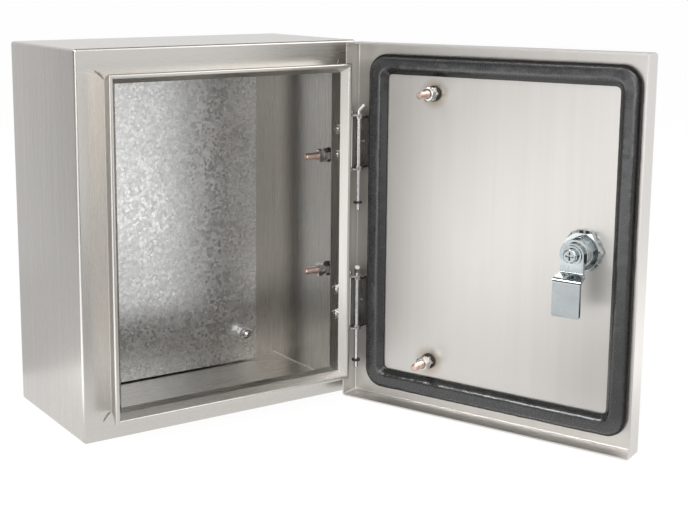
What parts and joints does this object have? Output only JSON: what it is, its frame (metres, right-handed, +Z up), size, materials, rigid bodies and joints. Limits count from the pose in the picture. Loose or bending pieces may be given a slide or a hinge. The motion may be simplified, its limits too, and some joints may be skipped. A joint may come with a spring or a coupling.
{
  "type": "wall-mount electrical enclosure",
  "caption": "Small brushed stainless wall-mount electrical enclosure, hinged door open, with mounting plate, foam gasket, bent-pin hinges and quarter-turn cam lock.",
  "frame": {"origin": "middle of the cabinet's back face, on the wall", "axes": "+X to the right seen from the front, +Y into the wall, +Z up"},
  "size_m": [0.3425, 0.3695, 0.3],
  "materials": {
    "stainless": "brushed",
    "galvanised": "galvanised, fine spangle",
    "zinc": "bright zinc plate",
    "copper_stud": "copper plate",
    "lock_metal": "bright plate",
    "gasket_foam": "foamed, matt",
    "black_washer": "matt"
  },
  "bodies": {
    "cabinet": {"body_wrap": "stainless", "back_panel": "stainless", "mounting_plate": "galvanised", "plate_studs": "zinc", "plate_spacers": "zinc", "plate_washers": "zinc", "plate_nuts": "zinc", "wall_earth_studs": "copper_stud", "wall_earth_washers": "black_washer", "wall_earth_nuts": "zinc", "hinge_body_leaf_upper": "stainless", "hinge_body_leaf_lower": "stainless", "hinge_screws": "stainless", "hinge_nuts": "zinc", "hinge_pin_upper": "stainless", "hinge_pin_lower": "stainless", "pin_rings": "black_washer"},
    "door": {"door_panel": "stainless", "gasket": "gasket_foam", "hinge_door_leaf_upper": "stainless", "hinge_door_leaf_lower": "stainless", "door_earth_studs": "copper_stud", "door_earth_washers": "black_washer", "door_earth_nuts": "zinc", "lock_housing": "lock_metal", "lock_seal": "gasket_foam", "lock_washer": "lock_metal", "lock_nut": "lock_metal"},
    "lock": {"lock_cylinder": "lock_metal", "lock_cam": "lock_metal", "cam_washer": "lock_metal", "cam_screw": "lock_metal"}
  },
  "joints": [
    {"name": "door_swing", "type": "hinge", "parent": "cabinet", "child": "door", "pos_m": [0.1165, -0.143, 0], "axis": [0, 0, 1], "range_deg": [-112, 8]},
    {"name": "lock_turn", "type": "hinge", "parent": "door", "child": "lock", "pos_m": [0.19881, -0.3179, 0], "axis": [-0.9272, -0.3746, 0], "range_deg": [0, 90]}
  ]
}
